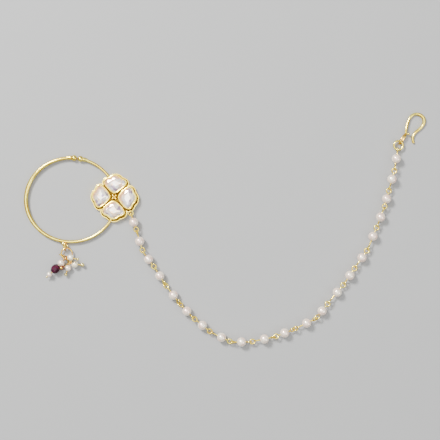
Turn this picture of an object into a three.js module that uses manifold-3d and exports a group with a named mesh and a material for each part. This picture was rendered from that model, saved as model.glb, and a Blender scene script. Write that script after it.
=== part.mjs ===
// Nath nose ring, lying on a table: a tapered gold hoop with ball ends, a flower of four set stones,
// a dangle cluster under the hoop, and a support chain of drilled pearls on eye pins that ends in a hair hook.
// Millimetres. X runs along the chain's reach, Y up the page, Z up from the table. Angles are in degrees.
import * as THREE from "three";
import { mergeVertices } from "three/addons/utils/BufferGeometryUtils.js";
import Module from "manifold-3d";

const wasm = await Module();
wasm.setup();

const rad = THREE.MathUtils.degToRad;
const UP = new THREE.Vector3(0, 0, 1);
const ALONG = new THREE.Vector3(1, 0, 0);

// Sizes: hoop
const HOOP_WIDTH = 39.6; // over the wire's centre line
const HOOP_HEIGHT = 36.8;
const WIRE_THICK = 1.75; // wire diameter opposite the flower
const WIRE_THIN = 1.2; // wire diameter at the flower
const BALL_D = 2.5; // the ball on each end of the hoop
const BALL_GAP = 0.3;
const FERRULE_LENGTH = 1.9; // the cone between a ball and its wire
const FERRULE_D = 1.9;
const GAP_ANGLE = 82; // where the hoop opens, from the +X end of its oval
const SINK_ANGLES = [28, -22]; // where the two wire ends are soldered in under the petals

// Sizes: flower
const FLOWER_INSET = 0.6; // the plate's centre, back from the hoop's +X end
const FLOWER_RISE = 0.85;
const FLOWER_TURN = -3.5;
const PETAL_COUNT = 4;
const PETAL_START = 1.5; // from the flower's centre to a petal's inner tip
const PETAL_LENGTH = 8.4;
const PETAL_WIDTH = 10.3;
const PLATE_MARGIN = 0.75;
const PLATE_THICKNESS = 0.7;
const RIM_HEIGHT = 1.5;
const RIM_WALL = 0.35;
const SETTING_SHIFT = [-0.1, 0.35]; // the petals sit a little off the plate's centre
const BEZEL_TOP = 3.3;
const BEZEL_WALL = 0.45;
const BEZEL_LEAN = 0.14; // the lip's outer edge leans in by this
const CUP_FLOOR = 2.0;
const BOSS_D = 2.9;
const BOSS_TOP = 2.9;

// Sizes: stones
const STONE_CLEARANCE = 0.15;
const STONE_LIFT = 0.1;
const GIRDLE_BELOW_LIP = 0.2;
const CROWN_HEIGHT = 1.05;
const TABLE_INSET = 1.25;
const PAVILION_INSET = 0.9;

// Sizes: chain
const PEARL_D = 4.1;
const PIN_WIRE = 0.58;
const BORE_CLEARANCE = 0.12;
const EYE_LENGTH = 2.68; // outside, along the pin
const EYE_WIDTH = 2.54;
const JOINT_PLAY = 0.16; // free play between two hooked eyes
const EYELET_D = 2.6; // the flat ring on the plate's rim, outside
const EYELET_LAP = 0.68; // how far its wire reaches over the rim
const EYELET_SINK = 0.2; // how deep it is soldered into the rim
const EYELET_ANGLE = -43.5;

// Sizes: end ring and hair hook
const RING_D = 4.75;
const RING_WIRE = 0.84;
const RING_SHIFT = 0.2; // how far the ring is pulled against the last eye
const HOOK_WIDTH = 8.1;
const HOOK_LENGTH = 8.8;
const HOOK_WIRE = 1.14;
const HOOK_TURN = 57; // direction from the ring to the hook's neck
const HOOK_EYE_LENGTH = 6;
const HOOK_EYE_WIDTH = 3.2;
const HOOK_EYE_WIRE = 0.7;
const HOOK_EYE_ROLL = 62;
const HOOK_PLAY = 0.5; // between the ring and the hook's eye
const HOOK_BALL_D = 1.05;
const HOOK_BALL_REACH = 1.15;

// Sizes: charm cluster
const BAIL_ANGLE = 261; // where the bail is soldered, from the hoop's +X end
const BAIL_TURN = -84;
const BAIL_LENGTH = 4.2;
const BAIL_WIDTH = 2.7;
const BAIL_WIRE = 0.6;
const BAIL_ROLL = 68;
const BAIL_SINK = 0.3; // how deep the bail is soldered into the hoop
const ROOT_GRAIN_D = 1.9; // solder ball at the bail's root
const SIDE_GRAIN_D = 1.15; // solder ball beside the bail
const JUMP_D = 5.4;
const JUMP_WIRE = 0.6;
const JUMP_TURN = -67; // direction from the bail to the jump ring's centre
const JUMP_Z = 1.5;
const BAIL_PLAY = 0.22; // between the bail and the ring
const CHARM_PLAY = 0.12; // between the ring and a dangle's eye
const DANGLE_WIRE = 0.5;
const DANGLE_EYE_D = 2.2;
const CHARM_BORE_CLEARANCE = 0.2;

// Facets
const WIRE_SIDES = 5;
const HOOP_SIDES = 8;
const EYE_STEPS = 10;
const BEAD_SIDES = 10;
const BEAD_RINGS = 4;
const OUTLINE_POINTS = 22; // round a bezel and the stone in it
const PLATE_POINTS = 18;

// Half of a petal's outline: share of the length, then share of the half width.
const PETAL_HALF = [
  { along: 0, across: 0 },
  { along: 0.025, across: 0.15 },
  { along: 0.09, across: 0.33 },
  { along: 0.2, across: 0.56 },
  { along: 0.35, across: 0.81 },
  { along: 0.49, across: 0.96 },
  { along: 0.61, across: 1 },
  { along: 0.73, across: 0.91 },
  { along: 0.8, across: 0.74 },
  { along: 0.845, across: 0.54 },
  { along: 0.92, across: 0.38 },
  { along: 0.98, across: 0.2 },
  { along: 1, across: 0 },
];

// The joints of the chain as it lies, counted from the flower's eyelet. Each link spans two of them.
const CHAIN_ROUTE = [
  [0.05, -0.14, 1.87],
  [2.6, -7.8, 2.26],
  [5.3, -16.8, 2.06],
  [10.5, -23.9, 2.06],
  [15.1, -31.3, 2.06],
  [21.4, -39.5, 2.06],
  [27.4, -45.9, 2.06],
  [35.1, -52.1, 2.06],
  [44, -56.4, 2.06],
  [52.6, -56.3, 2.06],
  [63, -54.1, 2.06],
  [71.5, -50.8, 2.06],
  [81.2, -46, 2.06],
  [86.5, -39.2, 2.06],
  [93.4, -30.9, 2.06],
  [98.3, -23.6, 2.06],
  [103.7, -15.8, 2.06],
  [107.8, -5.7, 2.06],
  [110.9, 2.3, 2.06],
  [113.1, 10.5, 2.06],
  [115.4, 19.2, 2.65],
  [117, 28.3, 1.5],
];

// Each link: how far its pearl has slid from the pin's middle, and how its two eyes are rolled about the pin.
const LINKS = [
  { slide: 0, rollIn: 90, rollOut: 8 },
  { slide: 0, rollIn: 98, rollOut: 5 },
  { slide: -0.2, rollIn: 90, rollOut: -8 },
  { slide: -0.2, rollIn: 80, rollOut: 60 },
  { slide: 0.6, rollIn: -25, rollOut: 45 },
  { slide: 0.2, rollIn: -45, rollOut: 80 },
  { slide: 0.1, rollIn: -10, rollOut: 5 },
  { slide: 0.2, rollIn: 85, rollOut: 10 },
  { slide: 0.2, rollIn: -80, rollOut: 85 },
  { slide: 0.7, rollIn: 0, rollOut: 65 },
  { slide: 0.1, rollIn: -20, rollOut: 45 },
  { slide: 0.7, rollIn: -45, rollOut: 50 },
  { slide: -0.2, rollIn: -50, rollOut: 0 },
  { slide: 0.6, rollIn: 82, rollOut: 5 },
  { slide: 0, rollIn: 85, rollOut: -5 },
  { slide: 0.3, rollIn: 80, rollOut: 0 },
  { slide: 0.7, rollIn: 88, rollOut: 5 },
  { slide: 0, rollIn: 84, rollOut: 78 },
  { slide: -0.1, rollIn: -25, rollOut: 5 },
  { slide: 0, rollIn: 84, rollOut: 0 },
  { slide: 0.1, rollIn: 88, rollOut: 82 },
];

// The hook from its neck: shares of its width and length, of the eye's height over the table, and of the wire's girth.
const HOOK_ROUTE = [
  { across: 0, along: 0, lift: 1, girth: 0.8 },
  { across: 0.03, along: 0.25, lift: 0.6, girth: 1 },
  { across: 0.1, along: 0.5, lift: 0.25, girth: 1 },
  { across: 0.22, along: 0.78, lift: 0.05, girth: 1 },
  { across: 0.4, along: 0.95, lift: 0, girth: 1 },
  { across: 0.62, along: 1, lift: 0, girth: 1.05 },
  { across: 0.82, along: 0.94, lift: 0, girth: 1.2 },
  { across: 0.97, along: 0.8, lift: 0, girth: 1.35 },
  { across: 1, along: 0.62, lift: 0, girth: 1.25 },
  { across: 0.94, along: 0.44, lift: 0, girth: 1.05 },
  { across: 0.76, along: 0.25, lift: 0, girth: 1 },
  { across: 0.55, along: 0.09, lift: 0, girth: 1 },
  { across: 0.42, along: -0.08, lift: 0, girth: 1 },
  { across: 0.39, along: -0.25, lift: 0, girth: 1 },
  { across: 0.43, along: -0.42, lift: 0.05, girth: 0.9 },
];

// Dangles on the jump ring: the angle on the ring where the eye hooks on, the wire's route past the eye, counted
// from the ring's centre at the ring's height, and the beads on it, each at one point of the route.
const DANGLES = [
  {
    name: "left",
    eyeAngle: 255,
    eyeTurn: 226,
    route: [
      [-2.39, -4.15, 0.5],
      [-4.86, -6.7, 0.5],
      [-7.5, -9.15, 0.5],
      [-8.75, -10.3, 0.5],
    ],
    tipD: 0.75,
    beads: [
      { at: 0, name: "charm_pearl_left", d: 3.05 },
      { at: 1, name: "ruby_bead", d: 3.9, length: 3.9, cut: true },
    ],
    fused: { at: 2, d: 2.35 },
  },
  {
    name: "upper_right",
    eyeAngle: 195,
    eyeTurn: 345,
    route: [
      [-0.9, -1.0, 1.3],
      [0.3, -1.25, 2.2],
      [2.1, -1.65, 2.65],
      [3.5, -2.0, 2.75],
      [5.1, -2.4, 2.6],
    ],
    tipD: 1.3,
    beads: [{ at: 2, name: "charm_pearl_upper_right", d: 2.8 }],
  },
  {
    name: "lower_right",
    eyeAngle: 320,
    eyeTurn: 306,
    route: [
      [1.95, -3.6, 0.1],
      [1.85, -4.35, 0.1],
      [2.2, -4.62, 0.1],
      [3.6, -4.72, 0.1],
      [5.1, -4.84, 0.1],
      [6.9, -4.98, 0.1],
    ],
    tipD: 1.6,
    beads: [{ at: 3, name: "charm_pearl_lower_right", d: 3.05 }],
  },
  {
    name: "lower_middle",
    eyeAngle: 299,
    eyeTurn: 286,
    route: [
      [1.1, -4.4, 0.1],
      [0.55, -6.4, 0],
      [-0.45, -9.2, 0],
    ],
    tipD: 1.45,
    beads: [{ at: 1, name: "charm_pearl_lower_middle", d: 2.8 }],
  },
  {
    name: "upright",
    eyeAngle: 283,
    eyeTurn: 274,
    route: [
      [0.35, -4.3, -0.8],
      [-0.6, -5.5, -0.95],
      [-1.6, -6.1, 0.1],
      [-1.75, -6.15, 2.3],
      [-1.75, -6.15, 3.8],
    ],
    tipD: 1.2,
    beads: [],
    fused: { at: 3, d: 2.1 },
  },
];

const gold = new THREE.MeshStandardMaterial({ color: 0xd8a94a, roughness: 0.28, metalness: 1 });
const glass = new THREE.MeshStandardMaterial({ color: 0xf0e6ea, roughness: 0.08, metalness: 0 });
const pearlWhite = new THREE.MeshStandardMaterial({ color: 0xe8dcd2, roughness: 0.35, metalness: 0 });
const rubyRed = new THREE.MeshStandardMaterial({ color: 0x7a2348, roughness: 0.12, metalness: 0 });

// Merges a geometry's vertices, drops faces that have shrunk to a line and turns the rest outwards.
function outward(geometry) {
  const g = mergeVertices(geometry, 1e-5);
  const corners = (f) => [0, 1, 2].map((k) => new THREE.Vector3().fromBufferAttribute(g.attributes.position, f[k]));
  const faces = [];
  for (let i = 0; i < g.index.count; i += 3) faces.push([0, 1, 2].map((k) => g.index.getX(i + k)));
  const kept = faces.filter(([a, b, c]) => a !== b && b !== c && c !== a);
  const volume = kept.reduce((sum, f) => {
    const [a, b, c] = corners(f);
    return sum + a.dot(b.cross(c));
  }, 0);
  g.setIndex(kept.flatMap(([a, b, c]) => (volume < 0 ? [b, a, c] : [a, b, c])));
  return g;
}

// Keeps only the positions, as merged vertices.
function bare(geometry) {
  const g = geometry.clone();
  g.deleteAttribute("normal");
  g.deleteAttribute("uv");
  return outward(g);
}

function toSolid(geometry) {
  const g = bare(geometry);
  return new wasm.Manifold(
    new wasm.Mesh({
      numProp: 3,
      vertProperties: new Float32Array(g.attributes.position.array),
      triVerts: new Uint32Array(g.index.array),
    }),
  );
}

function toGeometry(solid) {
  const mesh = solid.getMesh();
  const g = new THREE.BufferGeometry();
  g.setAttribute("position", new THREE.BufferAttribute(new Float32Array(mesh.vertProperties), 3));
  g.setIndex(new THREE.BufferAttribute(new Uint32Array(mesh.triVerts), 1));
  g.computeVertexNormals();
  return g;
}

function joined(geometries) {
  return geometries.map(toSolid).reduce((a, b) => a.add(b));
}

// A closed skin over a row of rings with equal point counts. capFaces close the first ring and the last one;
// without them the last ring meets the first.
function loft(rings, capFaces) {
  const n = rings[0].length;
  const faces = [];
  const spans = capFaces ? rings.length - 1 : rings.length;
  for (let i = 0; i < spans; i++)
    for (let j = 0; j < n; j++) {
      const a = i * n;
      const b = ((i + 1) % rings.length) * n;
      const k = (j + 1) % n;
      faces.push(a + j, a + k, b + k, a + j, b + k, b + j);
    }
  const last = (rings.length - 1) * n;
  for (const [p, q, r] of capFaces ?? []) faces.push(p, r, q, last + p, last + q, last + r);
  const g = new THREE.BufferGeometry().setFromPoints(rings.flat());
  g.setIndex(faces);
  return outward(g);
}

// A round wire along a curve, with a radius that may change from 0 to 1 along it.
function wire(curve, steps, radiusAt, sides, closed = false) {
  const frames = curve.computeFrenetFrames(steps, closed);
  const count = closed ? steps : steps + 1;
  const rings = Array.from({ length: count }, (_, i) => {
    const centre = curve.getPointAt(i / steps);
    return Array.from({ length: sides }, (_, j) => {
      const a = ((j + 0.5) / sides) * 2 * Math.PI;
      return centre
        .clone()
        .addScaledVector(frames.normals[i], radiusAt(i / steps) * Math.cos(a))
        .addScaledVector(frames.binormals[i], radiusAt(i / steps) * Math.sin(a));
    });
  });
  const fan = Array.from({ length: sides - 2 }, (_, j) => [0, j + 1, j + 2]);
  return loft(rings, closed ? null : fan);
}

// An arc of an oval in the XY plane, between two angles.
class OvalArc extends THREE.Curve {
  constructor(halfLength, halfWidth, from = 0, to = 360) {
    super();
    Object.assign(this, { halfLength, halfWidth, from, to });
  }
  getPoint(t, target = new THREE.Vector3()) {
    const a = rad(THREE.MathUtils.lerp(this.from, this.to, t));
    return target.set(this.halfLength * Math.cos(a), this.halfWidth * Math.sin(a), 0);
  }
}

// A closed eye of wire in the XY plane, given by its outside length and width.
function eye(length, width, thickness, steps = EYE_STEPS, sides = WIRE_SIDES) {
  const path = new OvalArc((length - thickness) / 2, (width - thickness) / 2);
  return wire(path, steps, () => thickness / 2, sides, true);
}

function straightWire(from, to, thickness) {
  return wire(new THREE.LineCurve3(from, to), 1, () => thickness / 2, WIRE_SIDES);
}

function ball(d, at) {
  return new THREE.SphereGeometry(d / 2, 8, 5).translate(at.x, at.y, at.z);
}

// A drilled bead on the Y axis. A cut bead has flat facets in place of the round.
function bead(d, bore, length = 0, cut = false) {
  const r = d / 2;
  const mouth = cut ? length / 2 : Math.sqrt(r * r - (bore * bore) / 4);
  const profile = [new THREE.Vector2(bore / 2, -mouth)];
  if (cut) {
    const steps = [
      [0.58, -1],
      [1, -0.4],
      [1, 0.4],
      [0.58, 1],
    ];
    for (const [out, up] of steps) profile.push(new THREE.Vector2(out * r, up * mouth));
  } else {
    const from = Math.asin(bore / 2 / r);
    for (let i = 1; i <= BEAD_RINGS; i++) {
      const a = THREE.MathUtils.lerp(from, Math.PI - from, i / (BEAD_RINGS + 1));
      profile.push(new THREE.Vector2(r * Math.sin(a), -r * Math.cos(a)));
    }
  }
  profile.push(new THREE.Vector2(bore / 2, mouth), profile[0]);
  return bare(new THREE.LatheGeometry(profile, cut ? 8 : BEAD_SIDES));
}

// A frame with X along a direction and Y level, as a rotation.
function levelTurn(direction) {
  const x = direction.clone().normalize();
  const y = UP.clone().cross(x).normalize();
  return new THREE.Quaternion().setFromRotationMatrix(new THREE.Matrix4().makeBasis(x, y, x.clone().cross(y)));
}

function flatDirection(degrees) {
  return new THREE.Vector3(Math.cos(rad(degrees)), Math.sin(rad(degrees)), 0);
}

// An eye that lies along a direction, rolled about it, with its centre at a point.
function placedEye(length, width, thickness, direction, roll, at, steps) {
  return eye(length, width, thickness, steps)
    .rotateX(rad(roll))
    .applyQuaternion(levelTurn(direction))
    .translate(at.x, at.y, at.z);
}

function named(name, geometry, material) {
  const mesh = new THREE.Mesh(geometry, material);
  mesh.name = name;
  return mesh;
}

// Hoop
const HOOP_Z = BALL_D / 2;
const hoopPath = new OvalArc(HOOP_WIDTH / 2, HOOP_HEIGHT / 2);

function hoopPoint(angle) {
  return hoopPath.getPoint(angle / 360).setZ(HOOP_Z);
}

function hoopTangent(angle) {
  return new THREE.Vector3(-HOOP_WIDTH * Math.sin(rad(angle)), HOOP_HEIGHT * Math.cos(rad(angle)), 0).normalize();
}

// The wire is thickest opposite the flower.
function hoopRadius(angle) {
  const share = ((1 - Math.cos(rad(angle))) / 2) ** 2;
  return THREE.MathUtils.lerp(WIRE_THIN, WIRE_THICK, share) / 2;
}

function hoopWire(from, to, steps) {
  const arc = new OvalArc(HOOP_WIDTH / 2, HOOP_HEIGHT / 2, from, to);
  const radiusAt = (t) => hoopRadius(THREE.MathUtils.lerp(from, to, t));
  return wire(arc, steps, radiusAt, HOOP_SIDES).translate(0, 0, HOOP_Z);
}

// A ball with the cone that ties it to the wire, its Y axis towards the gap.
function finial(angle, towards) {
  const r = BALL_D / 2;
  const neck = FERRULE_D / 2;
  const profile = [
    [0, -r - FERRULE_LENGTH],
    [hoopRadius(angle) * 1.02, -r - FERRULE_LENGTH],
    [neck, -r - FERRULE_LENGTH * 0.25],
    [neck, -r],
    [neck * 0.8, -r * 0.93],
  ].map(([x, y]) => new THREE.Vector2(x, y));
  for (let a = 45; a <= 150; a += 35) profile.push(new THREE.Vector2(r * Math.sin(rad(a)), -r * Math.cos(rad(a))));
  profile.push(new THREE.Vector2(0, r));
  const turn = new THREE.Quaternion().setFromUnitVectors(new THREE.Vector3(0, 1, 0), towards);
  const at = hoopPoint(angle);
  return new THREE.LatheGeometry(profile, 8).applyQuaternion(turn).translate(at.x, at.y, at.z);
}

function hoopParts() {
  const half = (BALL_D + BALL_GAP) / 2;
  const speed = rad(1) * Math.hypot(
    (HOOP_WIDTH / 2) * Math.sin(rad(GAP_ANGLE)),
    (HOOP_HEIGHT / 2) * Math.cos(rad(GAP_ANGLE)),
  );
  const left = GAP_ANGLE + half / speed;
  const right = GAP_ANGLE - half / speed;
  return [
    hoopWire(left, 360 + SINK_ANGLES[1], 38),
    hoopWire(SINK_ANGLES[0], right, 10),
    finial(left, hoopTangent(left).negate()),
    finial(right, hoopTangent(right)),
  ];
}

// Flower
const plateCentre = new THREE.Vector3(HOOP_WIDTH / 2 - FLOWER_INSET, FLOWER_RISE, 0);
const settingCentre = plateCentre.clone().add(new THREE.Vector3(...SETTING_SHIFT, 0));
const petalCurve = new THREE.CatmullRomCurve3(
  [...PETAL_HALF.map((p) => ({ along: p.along, across: -p.across })), ...PETAL_HALF.slice(1, -1).reverse()].map(
    (p) => new THREE.Vector3(PETAL_START + p.along * PETAL_LENGTH, (p.across * PETAL_WIDTH) / 2, 0),
  ),
  true,
  "centripetal",
);

// A petal's outline, moved inwards, at a height. The petal lies along +X from the flower's centre.
function petalRing(inset, z, count) {
  return Array.from({ length: count }, (_, i) => {
    const tangent = petalCurve.getTangentAt(i / count);
    const inwards = UP.clone().cross(tangent);
    return petalCurve.getPointAt(i / count).addScaledVector(inwards, inset).setZ(z);
  });
}

// A petal-shaped body through sections of an inset and a height.
function petalBody(sections, count = OUTLINE_POINTS) {
  const rings = sections.map(({ inset, z }) => petalRing(inset, z, count));
  const flat = rings[0].map((p) => new THREE.Vector2(p.x, p.y));
  return loft(rings, THREE.ShapeUtils.triangulateShape(flat, []));
}

function petalAngle(i) {
  return FLOWER_TURN + (i * 360) / PETAL_COUNT;
}

function roundFlower(geometry, centre) {
  return Array.from({ length: PETAL_COUNT }, (_, i) =>
    geometry.clone().rotateZ(rad(petalAngle(i))).translate(centre.x, centre.y, 0),
  );
}

// The base plate: four petals run together, with a raised rim round a shallow tray.
function plate() {
  const hubR = PETAL_START + PETAL_LENGTH * 0.35;
  const prism = (inset, from, to) =>
    petalBody(
      [
        { inset, z: from },
        { inset, z: to },
      ],
      PLATE_POINTS,
    );
  const body = prism(-PLATE_MARGIN, 0, RIM_HEIGHT);
  const tray = prism(RIM_WALL - PLATE_MARGIN, PLATE_THICKNESS, RIM_HEIGHT + 1);
  const hub = (from, to) =>
    new THREE.CylinderGeometry(hubR, hubR, to - from, 12)
      .rotateX(rad(90))
      .translate(plateCentre.x, plateCentre.y, (from + to) / 2);
  const whole = joined([...roundFlower(body, plateCentre), hub(0, RIM_HEIGHT)]);
  return whole.subtract(joined([...roundFlower(tray, plateCentre), hub(PLATE_THICKNESS, RIM_HEIGHT + 1)]));
}

// One petal's wall and floor, a cup that the stone sits in.
function bezel() {
  return petalBody([
    { inset: 0, z: PLATE_THICKNESS / 2 },
    { inset: 0, z: BEZEL_TOP - BEZEL_WALL },
    { inset: BEZEL_LEAN, z: BEZEL_TOP },
    { inset: BEZEL_WALL, z: BEZEL_TOP },
    { inset: BEZEL_WALL, z: CUP_FLOOR },
  ]);
}

// The small boss in the middle, with a lobe between each two petals.
function boss() {
  const lobeR = BOSS_D / 5;
  const lobes = Array.from({ length: PETAL_COUNT }, (_, i) => {
    const at = flatDirection(petalAngle(i + 0.5)).multiplyScalar(BOSS_D / 2 - lobeR).add(settingCentre);
    return new THREE.CapsuleGeometry(lobeR, BOSS_TOP - 2 * lobeR, 2, 6)
      .rotateX(rad(90))
      .translate(at.x, at.y, BOSS_TOP / 2 + lobeR / 2);
  });
  const stem = new THREE.CylinderGeometry(lobeR * 0.9, lobeR * 1.3, BOSS_TOP, 8)
    .rotateX(rad(90))
    .translate(settingCentre.x, settingCentre.y, BOSS_TOP / 2 + PLATE_THICKNESS / 2);
  return [...lobes, stem];
}

// How far the plate reaches from its centre in a direction.
function plateReach(degrees) {
  const along = flatDirection(degrees);
  const edge = petalRing(-PLATE_MARGIN, 0, 400);
  const points = Array.from({ length: PETAL_COUNT }, (_, i) => {
    const turn = rad(petalAngle(i));
    return edge.map((p) => p.clone().applyAxisAngle(UP, turn));
  }).flat();
  const ahead = points.filter((p) => p.angleTo(along) < rad(0.6));
  return Math.max(...ahead.map((p) => p.length()));
}

// The chain's eyelet, soldered flat on the rim.
const eyeletCentre = flatDirection(EYELET_ANGLE)
  .multiplyScalar(plateReach(EYELET_ANGLE) + EYELET_D / 2 - EYELET_LAP)
  .add(plateCentre)
  .setZ(RIM_HEIGHT + PIN_WIRE / 2 - EYELET_SINK);

function chainEyelet() {
  return placedEye(EYELET_D, EYELET_D, PIN_WIRE, ALONG, 0, eyeletCentre);
}

// Charm bail, soldered into the outside of the hoop.
const bailDirection = flatDirection(BAIL_TURN);
const bailHalf = (BAIL_LENGTH - BAIL_WIRE) / 2;
const bailCentre = hoopPoint(BAIL_ANGLE).addScaledVector(
  bailDirection,
  hoopRadius(BAIL_ANGLE) + bailHalf - BAIL_SINK,
).setZ(JUMP_Z);

function bailParts() {
  const top = hoopPoint(BAIL_ANGLE);
  const rootGrain = top.clone().add(new THREE.Vector3(-0.3, -1.05, 0));
  const sideGrain = top.clone().add(new THREE.Vector3(1.45, -2, 0));
  return [
    placedEye(BAIL_LENGTH, BAIL_WIDTH, BAIL_WIRE, bailDirection, BAIL_ROLL, bailCentre, 12),
    ball(ROOT_GRAIN_D, rootGrain),
    ball(SIDE_GRAIN_D, sideGrain),
    straightWire(top, sideGrain, BAIL_WIRE),
  ];
}

const hoopAndFlower = joined([
  ...hoopParts(),
  ...roundFlower(bezel(), settingCentre),
  ...boss(),
  chainEyelet(),
  ...bailParts(),
]).add(plate());

// Stones
const stoneInset = BEZEL_WALL + STONE_CLEARANCE;
const girdleZ = BEZEL_TOP - GIRDLE_BELOW_LIP;

function stone() {
  return petalBody([
    { inset: stoneInset + PAVILION_INSET, z: CUP_FLOOR + STONE_LIFT },
    { inset: stoneInset, z: girdleZ },
    { inset: stoneInset + TABLE_INSET * 0.45, z: girdleZ + CROWN_HEIGHT * 0.62 },
    { inset: stoneInset + TABLE_INSET, z: girdleZ + CROWN_HEIGHT },
  ]);
}

const STONE_NAMES = ["stone_right", "stone_top", "stone_left", "stone_bottom"];

function stones() {
  return roundFlower(stone(), settingCentre).map((g, i) => named(STONE_NAMES[i], g, glass));
}

// Chain
const eyeHalf = (EYE_LENGTH - PIN_WIRE) / 2;
const jointSlack = eyeHalf - (PIN_WIRE + JOINT_PLAY) / 2; // from a joint to the centre of each of its eyes
const pearlBore = PIN_WIRE + 2 * BORE_CLEARANCE;
const joints = CHAIN_ROUTE.map(([x, y, z]) => new THREE.Vector3(eyeletCentre.x + x, eyeletCentre.y + y, z));

// An eye pin on the X axis, its middle at the origin.
function eyePin(span, rollIn, rollOut) {
  const reach = span / 2 - jointSlack;
  const shaftEnd = new THREE.Vector3(reach - eyeHalf, 0, 0);
  const end = (side, roll) => eye(EYE_LENGTH, EYE_WIDTH, PIN_WIRE).rotateX(rad(roll)).translate(side * reach, 0, 0);
  return toGeometry(
    joined([end(-1, rollIn), end(1, rollOut), straightWire(shaftEnd.clone().negate(), shaftEnd, PIN_WIRE)]),
  );
}

function chain() {
  const group = new THREE.Group();
  const pearlGeometry = bead(PEARL_D, pearlBore).rotateZ(rad(-90));
  LINKS.forEach(({ slide, rollIn, rollOut }, i) => {
    const span = joints[i + 1].clone().sub(joints[i]);
    const link = new THREE.Group();
    link.position.copy(joints[i]).addScaledVector(span, 0.5);
    link.quaternion.copy(levelTurn(span));
    const number = String(i + 1).padStart(2, "0");
    link.add(named("eye_pin_" + number, eyePin(span.length(), rollIn, rollOut), gold));
    const threaded = named("pearl_" + number, pearlGeometry, pearlWhite);
    threaded.position.x = slide;
    link.add(threaded);
    group.add(link);
  });
  return group;
}

// End ring, pulled against the chain's last eye
const lastJoint = joints.at(-1);
const chainEnd = lastJoint.clone().sub(joints.at(-2)).setZ(0).normalize();
const ringR = (RING_D - RING_WIRE) / 2;
const ringCentre = lastJoint.clone().addScaledVector(chainEnd, ringR + RING_SHIFT - jointSlack);

function endRing() {
  const ring = named("end_ring", eye(RING_D, RING_D, RING_WIRE, 14, 6), gold);
  ring.position.copy(ringCentre);
  return ring;
}

// Hair hook
function hairHook() {
  const direction = flatDirection(HOOK_TURN);
  const eyeReach = (HOOK_EYE_LENGTH - HOOK_EYE_WIRE) / 2;
  const hold = (RING_WIRE + HOOK_EYE_WIRE) / 2 + HOOK_PLAY;
  const eyeCentre = ringCentre.clone().addScaledVector(direction, ringR - hold + eyeReach);
  const neck = eyeCentre.clone().addScaledVector(direction, eyeReach);
  const r = HOOK_WIRE / 2;
  const points = HOOK_ROUTE.map(
    (p) =>
      new THREE.Vector3(
        neck.x + p.across * HOOK_WIDTH,
        neck.y + p.along * HOOK_LENGTH,
        r * p.girth + p.lift * (neck.z - r),
      ),
  );
  const curve = new THREE.CatmullRomCurve3(points, false, "centripetal");
  const girthAt = (t) => {
    const s = curve.getUtoTmapping(t) * (HOOK_ROUTE.length - 1);
    const i = Math.min(Math.floor(s), HOOK_ROUTE.length - 2);
    return r * THREE.MathUtils.lerp(HOOK_ROUTE[i].girth, HOOK_ROUTE[i + 1].girth, s - i);
  };
  const ballAt = neck.clone().add(new THREE.Vector3(HOOK_BALL_REACH, 0, 0));
  const solid = joined([
    placedEye(HOOK_EYE_LENGTH, HOOK_EYE_WIDTH, HOOK_EYE_WIRE, direction, HOOK_EYE_ROLL, eyeCentre, 14),
    wire(curve, 28, girthAt, 6),
    ball(HOOK_BALL_D, ballAt),
    straightWire(neck, ballAt, HOOK_EYE_WIRE * 0.8),
  ]);
  return named("hair_hook", toGeometry(solid), gold);
}

// Charm ring, its wire held inside the bail's far end
const jumpR = (JUMP_D - JUMP_WIRE) / 2;
const jumpHold = bailCentre
  .clone()
  .addScaledVector(bailDirection, bailHalf - (BAIL_WIRE + JUMP_WIRE) / 2 - BAIL_PLAY);
const jumpCentre = jumpHold.clone().addScaledVector(flatDirection(JUMP_TURN), jumpR);

// One dangle: a head pin hooked on the charm ring, and the beads on it.
function dangle({ name, eyeAngle, eyeTurn, route, tipD, beads, fused }) {
  const group = new THREE.Group();
  const eyeR = (DANGLE_EYE_D - DANGLE_WIRE) / 2;
  const direction = flatDirection(eyeTurn);
  const hooked = flatDirection(eyeAngle).multiplyScalar(jumpR);
  const square = Math.abs(Math.cos(rad(eyeTurn - eyeAngle)));
  const slant = Math.sqrt(1 - square * square);
  const hold = (DANGLE_WIRE * (square + slant) + JUMP_WIRE) / 2 / square + CHARM_PLAY;
  const eyeCentre = hooked.addScaledVector(direction, eyeR - hold);
  const neck = eyeCentre.clone().addScaledVector(direction, eyeR);
  const curve = new THREE.CatmullRomCurve3([neck, ...route.map((p) => new THREE.Vector3(...p))], false, "centripetal");
  const at = (i) => curve.getPoint((i + 1) / route.length);
  const parts = [
    placedEye(DANGLE_EYE_D, DANGLE_EYE_D, DANGLE_WIRE, direction, 90, eyeCentre),
    wire(curve, 2 * route.length + 2, () => DANGLE_WIRE / 2, WIRE_SIDES),
    ball(tipD, at(route.length - 1)),
  ];
  if (fused) parts.push(ball(fused.d, at(fused.at)));
  group.add(named("charm_pin_" + name, toGeometry(joined(parts)), gold));
  for (const b of beads) {
    const bore = DANGLE_WIRE + 2 * CHARM_BORE_CLEARANCE;
    const mesh = named(b.name, bead(b.d, bore, b.length, b.cut), b.cut ? rubyRed : pearlWhite);
    mesh.position.copy(at(b.at));
    mesh.quaternion.setFromUnitVectors(new THREE.Vector3(0, 1, 0), curve.getTangent((b.at + 1) / route.length));
    group.add(mesh);
  }
  return group;
}

function charms() {
  const group = new THREE.Group();
  group.position.copy(jumpCentre);
  group.add(named("charm_ring", eye(JUMP_D, JUMP_D, JUMP_WIRE, 16), gold));
  for (const d of DANGLES) group.add(dangle(d));
  return group;
}

// The whole, set with the middle of its footprint at the origin and its lowest point on the table
const layout = new THREE.Group();
layout.add(named("hoop_and_flower_setting", toGeometry(hoopAndFlower), gold));
layout.add(...stones(), chain(), endRing(), hairHook(), charms());
const extent = new THREE.Box3().setFromObject(layout, true);
const middle = extent.getCenter(new THREE.Vector3());
layout.position.set(-middle.x, -middle.y, -extent.min.z);

const nath = new THREE.Group();
nath.add(layout);
export default nath;
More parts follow.
